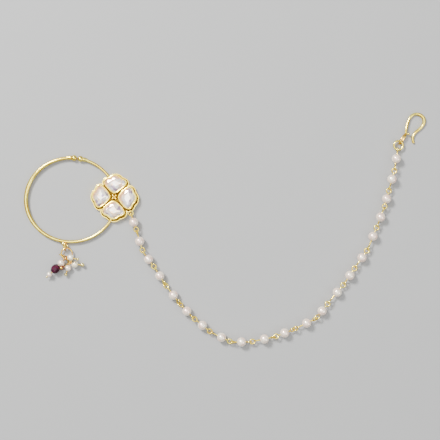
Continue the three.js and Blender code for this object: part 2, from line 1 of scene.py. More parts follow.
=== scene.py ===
"""Nath nose ring, dressed over its packed model.

A tapered gold hoop that opens between two balls carries a flower of four foiled stones, a cluster of
dangles and a support chain of drilled pearls that ends in a hair hook. Tables and helpers count in
millimetres from the middle of the hoop, as the ring lies on the table.
"""

import math

import bmesh
import bpy
import numpy as np
from bpy.props import FloatProperty, FloatVectorProperty, PointerProperty
from mathutils import Matrix, Vector


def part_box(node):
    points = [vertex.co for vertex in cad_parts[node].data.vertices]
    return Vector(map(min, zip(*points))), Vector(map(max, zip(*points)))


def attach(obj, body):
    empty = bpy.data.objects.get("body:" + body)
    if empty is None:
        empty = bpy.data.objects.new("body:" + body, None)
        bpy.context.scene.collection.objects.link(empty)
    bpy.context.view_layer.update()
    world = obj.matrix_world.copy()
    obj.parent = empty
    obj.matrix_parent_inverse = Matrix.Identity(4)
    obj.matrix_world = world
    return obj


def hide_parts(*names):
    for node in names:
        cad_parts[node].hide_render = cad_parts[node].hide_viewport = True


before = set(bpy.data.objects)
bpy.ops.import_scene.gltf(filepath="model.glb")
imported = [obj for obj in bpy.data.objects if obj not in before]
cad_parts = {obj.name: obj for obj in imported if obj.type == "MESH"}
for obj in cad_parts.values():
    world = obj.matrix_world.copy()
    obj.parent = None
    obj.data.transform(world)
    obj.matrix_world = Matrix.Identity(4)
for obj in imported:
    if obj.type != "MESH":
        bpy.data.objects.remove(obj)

bl_info = {
    "name": "Nath nose ring",
    "version": (1, 0, 0),
    "blender": (4, 5, 0),
    "location": "3D View > Sidebar > Nath",
    "description": "Builds the fine surfaces, finishes and setting of a nath nose ring",
    "category": "Object",
}

MM = 0.001
UP = Vector((0, 0, 1))
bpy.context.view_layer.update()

# Largest angle between faces, in degrees, that is still shaded smooth
TURNED_SMOOTH = 35
WIRE_SMOOTH = 60

SETTING = "hoop_and_flower_setting"
STONES = ("stone_right", "stone_top", "stone_left", "stone_bottom")

# Where the hoop's wire meets the flower, in degrees
WIRE_ENDS = (336, 26)

# Foot of the cone behind a ball: shares of the wire's girth, and distances past the cone
CONE_FOOT = ((0.9, 0.02), (1.02, 0))

# The cone: shares of the collar's girth and of the cone's length
CONE = ((0.8, 0.62), (0.97, 0.28), (1, 0.15))

# The collar's edge: share of its girth, and distance from the ball
COLLAR_EDGE = (0.98, 0.02)

# The throat between collar and ball: shares of the collar's girth and of the ball's radius
THROAT = ((0.9, 0.98), (0.74, 0.9))
FINIAL_ROWS = 33

# Flower
PETAL_COUNT = 4
PETAL_START = 1.5
FLOWER_INSET = 0.6
FLOWER_RISE = 0.85
SETTING_SHIFT = (-0.1, 0.35)
PLATE_THICKNESS = 0.7
PLATE_BITE = 0.1
RIM_WALL = 0.35
CUP_FLOOR = 2.0
CUP_WALL = 0.5
STONE_LIFT = 0.1
BOSS_TOP = 2.9
BOSS_PARTS = 5

# The feet of the boss's lobes and of its dot, as shares of a lobe's radius
LOBE_FOOT = 1.1
DOT_FOOT = 1.2

# The boss's dot: its height over the plate, its fall towards the edge, and its section as shares of a lobe
DOT_RISE = 2.2
DOT_FALL = 0.55
DOT_ROWS = (1.15, 1.13, 1.04, 0.88, 0.6, 0.25)

# Half of a petal's outline: shares of its length and of its half width
PETAL_HALF = (
    (0, 0),
    (0.025, 0.15),
    (0.09, 0.33),
    (0.2, 0.56),
    (0.35, 0.81),
    (0.49, 0.96),
    (0.61, 1),
    (0.73, 0.91),
    (0.8, 0.74),
    (0.845, 0.54),
    (0.92, 0.38),
    (0.98, 0.2),
    (1, 0),
)

# A petal's middle: shares of its near and of its far end
PETAL_MIDDLE = (0.42, 0.58)

# A bezel's lip in section: how far in from the outline, and how far under its top
LIP = (
    (0, 0.9),
    (0.02, 0.4),
    (0.07, 0.18),
    (0.15, 0.06),
    (0.28, 0.01),
    (0.42, 0),
    (0.55, 0.02),
    (0.65, 0.1),
    (0.68, 0.2),
    (0.6, 0.36),
)

# The stones' cut: how far each ring of corners lies in from the outline
GIRDLE_INSET = 0.62
CROWN_INSET = 1.2
SHOULDER_INSET = 1.85
TABLE_INSET = 2.6
BELLY_INSET = 1.05
KEEL_INSET = 2.4

# Heights of the cut: the girdle, shares of the crown, and distances from the girdle and the cup's floor
GIRDLE_Z = 3.1
CROWN_SHARE = 0.56
SHOULDER_SHARE = 0.84
BELLY_DROP = 0.5
KEEL_LIFT = 0.12

# Chain
EYELET_D = 2.6
EYELET_REACH = 9.75
EYELET_ANGLE = -43.5
EYELET_SINK = 0.2
JOINT_PLAY = 0.16
CHAIN_REST = 2.06
BORE_MOUTH = 0.05
BORE_SOFTENED = 0.12

# An eye of a pin: where its wire starts and ends, in degrees, and how many points it takes
EYE_START = 26
EYE_END = 340
EYE_POINTS = 34

# Where the wire straightens: distances past the eye along the pin, and off it
NECK = ((0.34, 0.02), (0.75, 0))

# The joints of the chain on the table, counted from the flower's eyelet
CHAIN_ROUTE = (
    (0.05, -0.14),
    (2.6, -7.8),
    (5.3, -16.8),
    (10.5, -23.9),
    (15.1, -31.3),
    (21.4, -39.5),
    (27.4, -45.9),
    (35.1, -52.1),
    (44, -56.4),
    (52.6, -56.3),
    (63, -54.1),
    (71.5, -50.8),
    (81.2, -46),
    (86.5, -39.2),
    (93.4, -30.9),
    (98.3, -23.6),
    (103.7, -15.8),
    (107.8, -5.7),
    (110.9, 2.3),
    (113.1, 10.5),
    (115.4, 19.2),
    (117, 28.3),
)

# Heights of the joints that don't lie at rest
CHAIN_HEIGHTS = {0: 1.87, 1: 2.26, 20: 2.65, 21: 1.5}

# Each link: its pearl's slide along the pin, and the roll of its two eyes
LINKS = (
    (0, 90, 8),
    (0, 98, 5),
    (-0.2, 90, -8),
    (-0.2, 80, 60),
    (0.6, -25, 45),
    (0.2, -45, 80),
    (0.1, -10, 5),
    (0.2, 85, 10),
    (0.2, -80, 85),
    (0.7, 0, 65),
    (0.1, -20, 45),
    (0.7, -45, 50),
    (-0.2, -50, 0),
    (0.6, 82, 5),
    (0, 85, -5),
    (0.3, 80, 0),
    (0.7, 88, 5),
    (0, 84, 78),
    (-0.1, -25, 5),
    (0, 84, 0),
    (0.1, 88, 82),
)

# Hair hook
RING_SHIFT = 0.2
HOOK_TURN = 57
HOOK_EYE = (6, 3.2)
HOOK_EYE_ROLL = 62
HOOK_PLAY = 0.5
HOOK_BALL_D = 1.05
HOOK_BALL_REACH = 1.15
# Girth of the ball's stem as a share of the eye's wire
HOOK_STEM = 0.4

# The hook from its neck: shares of its width, its length, the eye's height and the wire's girth
HOOK_ROUTE = (
    (0, 0, 1, 0.8),
    (0.03, 0.25, 0.6, 1),
    (0.1, 0.5, 0.25, 1),
    (0.22, 0.78, 0.05, 1),
    (0.4, 0.95, 0, 1),
    (0.62, 1, 0, 1.05),
    (0.82, 0.94, 0, 1.2),
    (0.97, 0.8, 0, 1.35),
    (1, 0.62, 0, 1.25),
    (0.94, 0.44, 0, 1.05),
    (0.76, 0.25, 0, 1),
    (0.55, 0.09, 0, 1),
    (0.42, -0.08, 0, 1),
    (0.39, -0.25, 0, 1),
    (0.43, -0.42, 0.05, 0.9),
)

# Charm cluster
BAIL_ANGLE = 261
BAIL_TURN = -84
BAIL_LENGTH = 4.2
BAIL_WIDTH = 2.7
BAIL_WIRE = 0.6
BAIL_ROLL = 68
BAIL_SINK = 0.3
BAIL_PLAY = 0.22
JUMP_TURN = -67
JUMP_Z = 1.5
CHARM_PLAY = 0.12
CHARM_BORE_PLAY = 0.2
ROUTE_STEP = 0.01

# Solder balls at the bail's root: offset from the hoop, and diameter
GRAINS = ((-0.3, -1.05, 1.9), (1.45, -2, 1.15))

# The cut bead's section: shares of its radius and of its half length
BEAD_CUT = ((0.56, -1), (0.98, -0.36), (0.98, 0.36), (0.56, 1))
BEAD_SIDES = 9

# Dangles: the eye's place on the ring and its turn, the wire's route, its tip, and the beads on the route
DANGLES = {
    "left": {
        "eye": (255, 226),
        "route": ((-2.39, -4.15, 0.5), (-4.86, -6.7, 0.5), (-7.5, -9.15, 0.5), (-8.75, -10.3, 0.5)),
        "tip": 0.75,
        "pearl": (0, 3.05, "pearl"),
        "ruby": (1, 3.9, 3.9),
        "fused": (2, 2.35, "pearl"),
    },
    "upper_right": {
        "eye": (195, 345),
        "route": ((-0.9, -1, 1.3), (0.3, -1.25, 2.2), (2.1, -1.65, 2.65), (3.5, -2, 2.75), (5.1, -2.4, 2.6)),
        "tip": 1.3,
        "pearl": (2, 2.8, "cream_pearl"),
    },
    "lower_right": {
        "eye": (320, 306),
        "route": (
            (1.95, -3.6, 0.1),
            (1.85, -4.35, 0.1),
            (2.2, -4.62, 0.1),
            (3.6, -4.72, 0.1),
            (5.1, -4.84, 0.1),
            (6.9, -4.98, 0.1),
        ),
        "tip": 1.6,
        "pearl": (3, 3.05, "cream_pearl"),
    },
    "lower_middle": {
        "eye": (299, 286),
        "route": ((1.1, -4.4, 0.1), (0.55, -6.4, 0), (-0.45, -9.2, 0)),
        "tip": 1.45,
        "pearl": (1, 2.8, "pearl"),
    },
    "upright": {
        "eye": (283, 274),
        "route": (
            (0.35, -4.3, -0.8),
            (-0.6, -5.5, -0.95),
            (-1.6, -6.1, 0.1),
            (-1.75, -6.15, 2.3),
            (-1.75, -6.15, 3.8),
        ),
        "tip": 1.2,
        "fused": (3, 2.1, "garnet"),
        "tip_finish": "loop",
    },
}

# Second tones of the finishes
LOOP_RED = (0.8, 0.4, 0.07)
# Pale straw gold that paints the small balls' highlight.
TIP_PAINTED_HIGHLIGHT = (0.96, 0.82, 0.42)
CREAM_CAST = (0.86, 0.72, 0.42)
# Warm colour painted on each stone's upper-left corner, the side of the key light: painted light.
PAINTED_WARM_LIGHT = (0.95, 0.5, 0.24)
FOIL_ROSE = (0.93, 0.78, 0.8)
FOIL_STRAW = (0.96, 0.84, 0.6)
# Lighter plum that paints the ruby bead's sheen in random patches.
RUBY_PAINTED_SHEEN = (0.07, 0.006, 0.026)
GARNET_LIGHT = (0.13, 0.01, 0.012)

# Stage
VIEW_MIDDLE = Vector((65.34, -8.84, 0))
VIEW_NEAREST = 0.01
FLOOR_SIZE = 6

# The room: heights of its dark and of its bright end, with their colours
ROOM = ((0.18, (0.0485, 0.0495, 0.05)), (0.78, (0.97, 0.99, 1.0)))

# Lights: name, setting of its power, width, and place in metres
LIGHTS = (
    ("key_light", "key", 0.28, (-0.5, 0.55, 0.75)),
    ("fill_light", "fill", 0.5, (0.75, -0.35, 0.6)),
    ("top_light", "top", 0.6, (-0.08, 0.1, 1.1)),
)


def length(name, description, default):
    """A size that a user can change, given here in millimetres."""
    return FloatProperty(
        name=name, description=description, default=default * MM, min=0, unit="LENGTH", precision=5
    )


def turn(name, description, default):
    """An angle that a user can change, given here in degrees."""
    return FloatProperty(name=name, description=description, default=math.radians(default), subtype="ANGLE")


def colour(name, description, default):
    """A colour that a user can change."""
    return FloatVectorProperty(
        name=name, description=description, default=default, size=3, min=0, max=1, subtype="COLOR"
    )


class HoopSizes(bpy.types.PropertyGroup):
    """Sizes of the hoop"""

    width: length("Width", "Width of the hoop over the middle of its wire", 39.6)
    height: length("Height", "Height of the hoop over the middle of its wire", 36.8)
    thick: length("Thick end", "Wire diameter opposite the flower", 1.75)
    thin: length("Thin end", "Wire diameter at the flower", 1.2)
    ball: length("Ball", "Diameter of the ball on each end", 2.5)
    gap: length("Gap", "Gap between the two balls", 0.3)
    ferrule: length("Ferrule", "Length of the cone behind each ball", 1.9)
    collar: length("Collar", "Diameter of the cone where it meets the ball", 1.9)
    opening: turn("Opening", "Where the hoop opens", 82)


class FlowerSizes(bpy.types.PropertyGroup):
    """Sizes of the flower setting"""

    turned: turn("Turn", "Turn of the flower", -3.5)
    petal_length: length("Petal length", "Length of one petal's bezel", 8.4)
    petal_width: length("Petal width", "Width of one petal's bezel", 10.3)
    margin: length("Plate margin", "How far the plate stands out round the bezels", 0.75)
    rim: length("Rim height", "Height of the plate's raised rim", 1.5)
    lip: length("Lip height", "Height of the bezels' lips", 3.3)
    crown: length("Crown", "Height of the stones over their girdles", 1.05)
    boss: length("Boss", "Width of the small boss in the middle", 2.9)


class ChainSizes(bpy.types.PropertyGroup):
    """Sizes of the support chain and the hook"""

    pearl: length("Pearl", "Diameter of the chain's pearls", 4.1)
    wire: length("Pin wire", "Diameter of the eye pins' wire", 0.58)
    eye_length: length("Eye length", "Outside length of an eye", 2.68)
    eye_width: length("Eye width", "Outside width of an eye", 2.54)
    bore: length("Bore clearance", "Clearance round the wire in a pearl's bore", 0.12)
    ring: length("End ring", "Outside diameter of the end ring", 4.75)
    ring_wire: length("End ring wire", "Wire diameter of the end ring", 0.84)
    hook_width: length("Hook width", "Width of the hair hook", 8.1)
    hook_length: length("Hook length", "Length of the hair hook from its neck", 8.8)
    hook_wire: length("Hook wire", "Wire diameter of the hair hook", 1.14)
    hook_eye_wire: length("Hook eye wire", "Wire diameter of the hook's eye", 0.7)


class CharmSizes(bpy.types.PropertyGroup):
    """Sizes of the charm cluster"""

    ring: length("Ring", "Outside diameter of the charm ring", 5.4)
    ring_wire: length("Ring wire", "Wire diameter of the charm ring", 0.6)
    pin_wire: length("Pin wire", "Wire diameter of the head pins", 0.5)
    eye: length("Eye", "Outside diameter of a head pin's eye", 2.2)


class FinishColours(bpy.types.PropertyGroup):
    """Colours of the finishes"""

    gold: colour("Gold", "Polished gold plating", (0.9, 0.64, 0.06))
    worn: colour("Worn gold", "Gold where it is rubbed", (1.0, 0.83, 0.14))
    # The recess colour is a dark warm gold that paints the shade in the recesses.
    recess_shade_colour: colour("Recess gold with painted shade", "Dark gold that paints the shade in the recesses", (0.1, 0.045, 0.006))
    pearl: colour("Pearl", "Pearl body", (1.0, 0.9, 0.72))
    blush: colour("Pearl blush", "Pink cast of the pearls", (0.95, 0.62, 0.5))
    cream: colour("Cream pearl", "Body of the cream pearls", (0.97, 0.89, 0.66))
    foil: colour("Foil", "Stone over its foil", (1.0, 0.91, 0.8))
    ruby: colour("Ruby", "Faceted bead", (0.02, 0.002, 0.007))
    garnet: colour("Garnet", "Small dark bead", (0.045, 0.002, 0.003))
    floor: colour("Floor", "Floor under the ring", (0.31, 0.31, 0.306))


class StageSettings(bpy.types.PropertyGroup):
    """Camera and light"""

    distance: FloatProperty(
        name="Camera height", description="Camera over the table", default=0.43, unit="LENGTH"
    )
    lens: FloatProperty(name="Lens", description="Focal length", default=80, unit="CAMERA")
    key: FloatProperty(name="Key", description="Power of the main light", default=26, unit="POWER")
    fill: FloatProperty(name="Fill", description="Power of the second light", default=3.4, unit="POWER")
    top: FloatProperty(name="Top", description="Power of the light overhead", default=5.2, unit="POWER")
    room: FloatProperty(name="Room", description="Strength of the room's light", default=1.2, min=0)


class Millimetres:
    """Reads a group of sizes in millimetres."""

    def __init__(self, group):
        self.group = group

    def __getattr__(self, key):
        return getattr(self.group, key) / MM


def sizes(name):
    """One group's sizes: hoop, flower, chain or charms."""
    return Millimetres(getattr(bpy.context.scene, "nath_" + name))


# Curves


def polar(radius, angle, z=0):
    """A point round the Z axis. The angle is in radians."""
    return Vector((radius * math.cos(angle), radius * math.sin(angle), z))


def flat(degrees):
    """A direction on the table."""
    return polar(1, math.radians(degrees))


def spline(points, t, closed=False):
    """A point on a centripetal Catmull-Rom curve through the points."""
    count = len(points)
    along = t * (count if closed else count - 1)
    i = min(int(along), count - 1 if closed else count - 2)
    share = along - i
    b = points[i % count]
    c = points[(i + 1) % count]
    a = points[(i - 1) % count] if closed or i > 0 else 2 * points[0] - points[1]
    d = points[(i + 2) % count] if closed or i + 2 < count else 2 * points[-1] - points[-2]
    steps = [max((q - p).length, 1e-6) ** 0.5 for p, q in ((a, b), (b, c), (c, d))]
    first = (b - a) / steps[0] - (c - a) / (steps[0] + steps[1]) + (c - b) / steps[1]
    last = (c - b) / steps[1] - (d - b) / (steps[1] + steps[2]) + (d - c) / steps[2]
    first *= steps[1]
    last *= steps[1]
    return (
        b
        + first * share
        + (3 * (c - b) - 2 * first - last) * share**2
        + (2 * (b - c) + first + last) * share**3
    )


def even(path, count, closed=False):
    """The path again, with evenly spaced points, and the share of the old path at each."""
    array = np.array([tuple(p) for p in (list(path) + [path[0]] if closed else path)])
    steps = np.linalg.norm(np.diff(array, axis=0), axis=1)
    reach = np.concatenate([[0], np.cumsum(steps)])
    wanted = np.linspace(0, reach[-1], count + 1 if closed else count)
    if closed:
        wanted = wanted[:-1]
    shares = np.interp(wanted, reach, np.linspace(0, 1, len(array)))
    points = np.stack([np.interp(wanted, reach, array[:, k]) for k in range(3)], axis=1)
    return [Vector(p) for p in points], shares


def oval(half_length, half_width, count):
    """Points round an oval on the table."""
    angles = [math.radians(360 * i / count) for i in range(count)]
    return [Vector((half_length * math.cos(a), half_width * math.sin(a), 0)) for a in angles]


def level_turn(direction):
    """A rotation with X along a direction and Y level."""
    x = direction.normalized()
    y = UP.cross(x).normalized()
    return Matrix((x, y, x.cross(y))).transposed()


def curve(points, steps):
    """Many points along the curve through a few."""
    return [spline(points, k / steps) for k in range(steps + 1)]


# Meshes


class Form:
    """Vertices and faces in millimetres, with a finish number for each face."""

    def __init__(self):
        self.points = []
        self.faces = []
        self.finishes = []

    def add(self, points, faces, finish=0):
        start = len(self.points)
        self.points += points
        self.faces += [[start + i for i in face] for face in faces]
        self.finishes += [finish] * len(faces)

    def skin(self, rings, closed=False, finish=0):
        """A skin over rings of equal count, capped at both ends unless it closes on itself."""
        count = len(rings[0])
        faces = []
        for i in range(len(rings) - (0 if closed else 1)):
            low = i * count
            high = (i + 1) % len(rings) * count
            for j in range(count):
                k = (j + 1) % count
                faces.append((low + j, low + k, high + k, high + j))
        if not closed:
            faces.append(tuple(reversed(range(count))))
            faces.append(tuple((len(rings) - 1) * count + j for j in range(count)))
        self.add([p for ring in rings for p in ring], faces, finish)

    def wire(self, path, radius, sides, closed=False, finish=0):
        """A round wire along a path, with round ends. radius is a number, or one for each point."""
        radii = list(radius) if hasattr(radius, "__len__") else [radius] * len(path)
        count = len(path)
        tangents = []
        for i in range(count):
            before = path[(i - 1) % count] if closed or i else path[0]
            after = path[(i + 1) % count] if closed or i + 1 < count else path[-1]
            tangents.append((after - before).normalized())
        if not closed:
            head, head_r = rounding(path[0], -tangents[0], radii[0])
            tail, tail_r = rounding(path[-1], tangents[-1], radii[-1])
            path = head[::-1] + path + tail
            radii = head_r[::-1] + radii + tail_r
            tangents = [tangents[0]] * len(head) + tangents + [tangents[-1]] * len(tail)
        side = tangents[0].orthogonal().normalized()
        frames = []
        previous = tangents[0]
        for tangent in tangents:
            side = previous.rotation_difference(tangent) @ side
            side = (side - tangent * side.dot(tangent)).normalized()
            frames.append((side.copy(), tangent.cross(side)))
            previous = tangent
        slip = 0
        if closed:
            back = previous.rotation_difference(tangents[0]) @ side
            slip = math.atan2(back.dot(frames[0][1]), back.dot(frames[0][0]))
        rings = []
        for i, (centre, (u, v)) in enumerate(zip(path, frames)):
            shift = -slip * i / len(path)
            angles = [2 * math.pi * j / sides + shift for j in range(sides)]
            rings.append([centre + (u * math.cos(a) + v * math.sin(a)) * radii[i] for a in angles])
        self.skin(rings, closed, finish)

    def eye(self, size, wire, direction, roll, at, count, sides=16, finish=0):
        """A closed eye of wire. size is its outer length and width."""
        path = oval((size[0] - wire) / 2, (size[1] - wire) / 2, count)
        spin = level_turn(direction) @ Matrix.Rotation(math.radians(roll), 3, "X")
        self.wire([spin @ p + at for p in path], wire / 2, sides, True, finish)

    def turned(self, profile, at, steps, spin=Matrix.Identity(3), finish=0, closed=False):
        """A turned form: profile rows are the radius and the height along local Z."""
        rings = []
        for radius, height in profile:
            angles = [2 * math.pi * j / steps for j in range(steps)]
            rings.append([spin @ polar(radius, a, height) + at for a in angles])
        self.skin(rings, closed, finish)

    def ball(self, diameter, at, steps, finish=0):
        rows = steps // 2
        angles = [math.pi * i / rows for i in range(1, rows)]
        profile = [(diameter / 2 * math.sin(a), -diameter / 2 * math.cos(a)) for a in angles]
        self.turned(profile, at, steps, finish=finish)

    def piece(self, name, finishes, nodes, smooth=TURNED_SMOOTH):
        """The object in Blender, riding on the root and standing for its nodes."""
        mesh = bpy.data.meshes.new(name)
        shift = layout_shift()
        mesh.from_pydata([(p + shift) * MM for p in self.points], [], self.faces)
        for finish in finishes:
            mesh.materials.append(finish_of(finish))
        mesh.polygons.foreach_set("material_index", self.finishes)
        mesh.validate()
        mesh.update()
        if smooth:
            mesh.polygons.foreach_set("use_smooth", [True] * len(mesh.polygons))
            mesh.set_sharp_from_angle(angle=math.radians(smooth))
        obj = bpy.data.objects.new(name, mesh)
        bpy.context.scene.collection.objects.link(obj)
        outward(obj)
        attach(obj, "root")
        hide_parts(*nodes)
        return obj


def outward(obj):
    """Turns all faces outwards."""
    work = bmesh.new()
    work.from_mesh(obj.data)
    bmesh.ops.recalc_face_normals(work, faces=work.faces)
    work.to_mesh(obj.data)
    work.free()


def rounding(end, direction, radius, rows=4):
    """The extra rows of a round wire end."""
    points = []
    radii = []
    for i in range(1, rows + 1):
        a = math.pi / 2 * i / (rows + 0.5)
        points.append(end + direction * radius * math.sin(a))
        radii.append(radius * math.cos(a))
    return points, radii


def layout_shift():
    """From the hoop's middle to the model's own origin, in millimetres."""
    boxes = [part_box(name) for name in STONES]
    low = [min(box[0][k] for box in boxes) / MM for k in range(3)]
    high = [max(box[1][k] for box in boxes) / MM for k in range(3)]
    setting = setting_centre()
    x = (low[0] + high[0]) / 2 - setting.x
    y = (low[1] + high[1]) / 2 - setting.y
    return Vector((x, y, low[2] - CUP_FLOOR - STONE_LIFT))


def plate_centre():
    return Vector((sizes("hoop").width / 2 - FLOWER_INSET, FLOWER_RISE, 0))


def setting_centre():
    return plate_centre() + Vector((*SETTING_SHIFT, 0))


# Materials


class Socket:
    """A shader socket that takes part in Python expressions."""

    def __init__(self, tree, socket):
        self.tree = tree
        self.socket = socket

    def maths(self, operation, other, swap=False):
        values = (other, self) if swap else (self, other)
        return self.tree.node("ShaderNodeMath", {"operation": operation}, dict(enumerate(values)))

    def __add__(self, other):
        return self.maths("ADD", other)

    def __radd__(self, other):
        return self.maths("ADD", other, True)

    def __sub__(self, other):
        return self.maths("SUBTRACT", other)

    def __rsub__(self, other):
        return self.maths("SUBTRACT", other, True)

    def __mul__(self, other):
        return self.maths("MULTIPLY", other)

    def __rmul__(self, other):
        return self.maths("MULTIPLY", other, True)


class Shading:
    """The node tree of a material or of the room, and the finish colours."""

    def __init__(self, owner):
        owner.use_nodes = True
        self.tree = owner.node_tree
        self.colours = bpy.context.scene.nath_colours

    def node(self, kind, settings=None, inputs=None, output=0):
        """Any node: its type, its settings first, then the values or links of its sockets."""
        node = self.tree.nodes.new(kind)
        for key, value in (settings or {}).items():
            if key == "stops":
                for i, (place, shade) in enumerate(value):
                    ramp = node.color_ramp
                    stop = ramp.elements[i] if i < 2 else ramp.elements.new(place)
                    stop.position = place
                    stop.color = (*shade, 1) if hasattr(shade, "__len__") else (shade, shade, shade, 1)
            else:
                setattr(node, key, value)
        for key, value in (inputs or {}).items():
            self.feed(node.inputs[key], value)
        return Socket(self, node.outputs[output])

    def feed(self, target, value):
        if isinstance(value, Socket):
            self.tree.links.new(value.socket, target)
        else:
            target.default_value = value

    def place(self):
        """The point on the object, in metres."""
        return self.node("ShaderNodeTexCoord", output=3)

    def axes(self):
        """The place within the object's own box, from 0 to 1 along each axis."""
        split = self.node("ShaderNodeSeparateXYZ", inputs={0: self.node("ShaderNodeTexCoord")})
        return [Socket(self, output) for output in split.socket.node.outputs]

    def noise(self, scale, detail=2.0, rough=0.5, distortion=0.0):
        sockets = {"Vector": self.place(), "Scale": scale, "Detail": detail}
        sockets.update({"Roughness": rough, "Distortion": distortion})
        return self.node("ShaderNodeTexNoise", inputs=sockets)

    def ramp(self, value, *stops):
        return self.node("ShaderNodeValToRGB", {"stops": stops}, {"Fac": value})

    def blend(self, share, one, other):
        """One colour over another."""
        one, other = [c if isinstance(c, Socket) else (*c, 1) for c in (one, other)]
        return self.node("ShaderNodeMix", {"data_type": "RGBA"}, {0: share, 6: one, 7: other}, output=2)

    def bump(self, height, distance, strength):
        sockets = {"Height": height, "Distance": distance, "Strength": strength}
        return self.node("ShaderNodeBump", inputs=sockets)


class Finish(Shading):
    """A material."""

    def __init__(self, name):
        self.material = bpy.data.materials.new(name)
        super().__init__(self.material)
        self.shader = self.tree.nodes["Principled BSDF"]

    def use(self, **values):
        """Sets the surface shader's sockets, named with underscores for blanks."""
        for key, value in values.items():
            self.feed(self.shader.inputs[key.replace("_", " ")], value)
        return self.material


FINISHES = {}


def finish_of(name):
    """A finish by its plain name, made when first asked for."""
    if name not in FINISHES:
        FINISHES[name] = FINISH_MAKERS[name]("nath_" + name)
    return FINISHES[name]


def polished_gold(name):
    """Bright plated gold with faint polishing marks and rubbed places."""
    f = Finish(name)
    rubbed = f.ramp(f.noise(320, 3, 0.6), (0.42, 0.0), (0.62, 1.0))
    tone = f.blend(rubbed, f.colours.gold, f.colours.worn)
    warm = f.ramp(f.noise(900), (0.3, 0.12), (0.75, 0.26))
    fine = f.noise(2600, 4, 0.7)
    return f.use(Base_Color=tone, Metallic=1.0, Roughness=warm, Normal=f.bump(fine, 0.00002, 0.35))


def recess_gold_painted_shade(name):
    """Gold darkened by painted shade between the petals and under the stones, with random patches of brighter
    gold.
    """
    f = Finish(name)
    lit = f.ramp(f.noise(700, 3, 0.6), (0.45, 0.0), (0.7, 0.3))
    # The dark colour is painted shade; the lit mask lets random patches of plain gold show through it.
    tone = f.blend(lit, f.colours.recess_shade_colour, f.colours.gold)
    grain = f.bump(f.noise(3200, 4, 0.7), 0.00004, 0.5)
    return f.use(Base_Color=tone, Metallic=1.0, Roughness=f.noise(1200) * 0.2 + 0.35, Normal=grain)


def loop_gold(name):
    """Warm reddish gold of the small loops under the hoop."""
    f = Finish(name)
    red = f.ramp(f.noise(600), (0.4, 0.0), (0.6, 1.0))
    tone = f.blend(red, f.colours.gold, LOOP_RED)
    return f.use(Base_Color=tone, Metallic=1.0, Roughness=f.noise(900) * 0.12 + 0.1)


def tip_gold_painted_highlight(name):
    """Paler copy of the gold on the head pins' balls and the solder balls, which paints their highlight."""
    f = Finish(name)
    tone = f.blend(f.noise(800), f.colours.worn, TIP_PAINTED_HIGHLIGHT)
    return f.use(Base_Color=tone, Metallic=1.0, Roughness=f.noise(1500) * 0.1 + 0.1)


def pearl_finish(name, body=None, cast=None):
    """Pearl coat with a soft cast, pink unless told otherwise, and faint waves in its skin."""
    f = Finish(name)
    patches = f.ramp(f.noise(520, 3, 0.55, 0.8), (0.4, 0.0), (0.6, 0.85))
    tone = f.blend(patches, body or f.colours.pearl, cast or f.colours.blush)
    skin = f.noise(900, 3, 0.6)
    return f.use(
        Base_Color=tone,
        Metallic=0.4,
        Roughness=f.noise(500) * 0.12 + 0.22,
        Specular_IOR_Level=0.6,
        Coat_Weight=1.0,
        Coat_IOR=1.75,
        Coat_Roughness=0.06,
        Normal=f.bump(skin, 0.00003, 0.4),
    )


def cream_pearl(name):
    """Creamier pearl of the charms on the right."""
    return pearl_finish(name, bpy.context.scene.nath_colours.cream, CREAM_CAST)


def clear_crown(name):
    """Clear stone over its foil: each flat cell takes the foil's colour or a painted reflection, and the
    upper-left corner gets painted warm light.
    """
    f = Finish(name)
    across, up, _ = f.axes()
    cells = f.node("ShaderNodeTexVoronoi", inputs={"Vector": f.place(), "Scale": 720}, output=1)
    # Random cells paint the facets' reflections over the foil colour: near white is a painted highlight,
    # peach a painted warm reflection, lilac and dark lilac painted reflections of darker surroundings.
    painted_reflection_tint = f.ramp(
        f.node("ShaderNodeSeparateColor", inputs={0: cells}),
        (0.0, (1.0, 0.97, 0.92)),
        (0.3, f.colours.foil),
        (0.44, (1.0, 0.62, 0.36)),
        (0.6, f.colours.foil),
        (0.68, (0.52, 0.36, 0.48)),
        (0.82, (0.24, 0.17, 0.27)),
        (0.88, f.colours.foil),
    )
    # The upper-left corner of each stone, towards the key light, is painted warm: painted light.
    warm = f.ramp(up - across + f.noise(700) * 0.5, (0.35, 0.0), (0.8, 0.9))
    return f.use(
        Base_Color=f.blend(warm, painted_reflection_tint, PAINTED_WARM_LIGHT),
        Metallic=0.5,
        Roughness=f.noise(900) * 0.1 + 0.03,
        Coat_Weight=1.0,
        Coat_Roughness=0.02,
    )


def stone_foil(name):
    """Foil behind the stone, with rose and straw patches."""
    f = Finish(name)
    rose = f.blend(f.noise(420, 1, 0.4), f.colours.foil, FOIL_ROSE)
    straw = f.blend(f.ramp(f.noise(260), (0.52, 0.0), (0.7, 0.5)), rose, FOIL_STRAW)
    return f.use(Base_Color=straw, Metallic=1.0, Roughness=f.noise(1500) * 0.15 + 0.2)


def ruby_glass(name):
    """Plum red faceted glass with a satin skin, and random lighter patches that paint its sheen."""
    f = Finish(name)
    tone = f.blend(f.ramp(f.noise(500), (0.4, 0.0), (0.7, 1.0)), f.colours.ruby, RUBY_PAINTED_SHEEN)
    return f.use(
        Base_Color=tone,
        Roughness=f.noise(700) * 0.12 + 0.25,
        IOR=1.45,
        Specular_IOR_Level=0.25,
        Coat_Weight=0.1,
        Coat_Roughness=0.05,
    )


def garnet_glass(name):
    """Dark red glass of the small bead that stands on end."""
    f = Finish(name)
    tone = f.blend(f.noise(600), f.colours.garnet, GARNET_LIGHT)
    rough = f.noise(700) * 0.08 + 0.12
    return f.use(Base_Color=tone, Roughness=rough, Coat_Weight=0.4, Coat_Roughness=0.05)


def floor_finish(name):
    """Plain pale floor."""
    f = Finish(name)
    tone = f.blend(f.noise(40, 3), f.colours.floor, [0.97 * v for v in f.colours.floor])
    return f.use(Base_Color=tone, Roughness=0.75)


